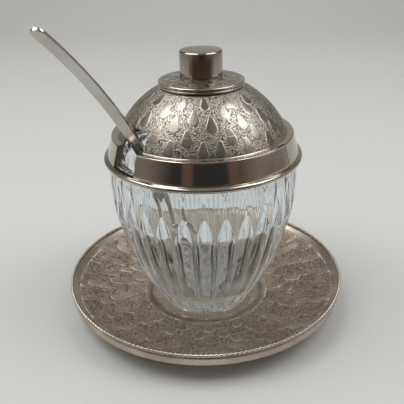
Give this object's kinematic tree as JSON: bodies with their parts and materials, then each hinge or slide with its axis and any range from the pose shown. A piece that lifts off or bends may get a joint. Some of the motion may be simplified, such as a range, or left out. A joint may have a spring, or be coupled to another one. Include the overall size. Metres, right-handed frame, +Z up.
{
  "type": "sugar bowl",
  "caption": "Fluted clear glass sugar bowl in plated metal mounts, with a hinged dome lid, a serving spoon held in a side notch, and a round saucer.",
  "frame": {"origin": "centre of the saucer's flat foot, on the table, under the middle of the whole object", "axes": "+Z is up along the bowl's axis; +Y points to the hinge at the back, so -Y is the front; +X is to the right seen from the front"},
  "size_m": [0.14, 0.14, 0.1474],
  "materials": {
    "saucer_plate": "silver plate worn and tarnished to a warm brownish grey, stamped with a small pebbled relief, satin",
    "mount_plate": "smooth polished silver plate with a light tarnish",
    "lid_plate": "silver plate with a fine stippled ground and smooth raised drops",
    "hinge_plate": "plain silver plate, satin",
    "clear_glass": "clear pressed glass with cut flutes and petals, polished",
    "bedding_plaster": "matt off-white plaster",
    "spoon_steel": "plain light grey metal, polished and lightly worn"
  },
  "bodies": {
    "saucer": {"saucer": "saucer_plate", "saucer_rope_border": "saucer_plate"},
    "bowl": {"glass_bowl": "clear_glass", "collar_bedding_ring": "bedding_plaster", "collar_flange_ring": "mount_plate", "collar_front_band": "mount_plate", "hinge_collar_leaf": "hinge_plate", "hinge_pin": "spoon_steel"},
    "lid": {"hinge_lid_leaf": "hinge_plate", "lid_dome": "lid_plate", "finial_base_ring": "mount_plate", "finial_plate": "lid_plate", "finial_knob": "mount_plate", "finial_stud": "spoon_steel", "finial_washer": "spoon_steel", "finial_nut": "spoon_steel"},
    "spoon": {"sugar_spoon": "spoon_steel"}
  },
  "joints": [
    {"name": "saucer_lift", "type": "slide", "parent": "saucer", "child": "bowl", "axis": [0, 0, 1], "range_m": [0, 0.12]},
    {"name": "lid_hinge", "type": "hinge", "parent": "bowl", "child": "lid", "pos_m": [0, 0.0474, 0.0837], "axis": [-1, 0, 0], "range_deg": [0, 100]},
    {"name": "spoon_draw", "type": "slide", "parent": "bowl", "child": "spoon", "axis": [-0.3753, -0.3886, 0.8415], "range_m": [0, 0.03]}
  ]
}
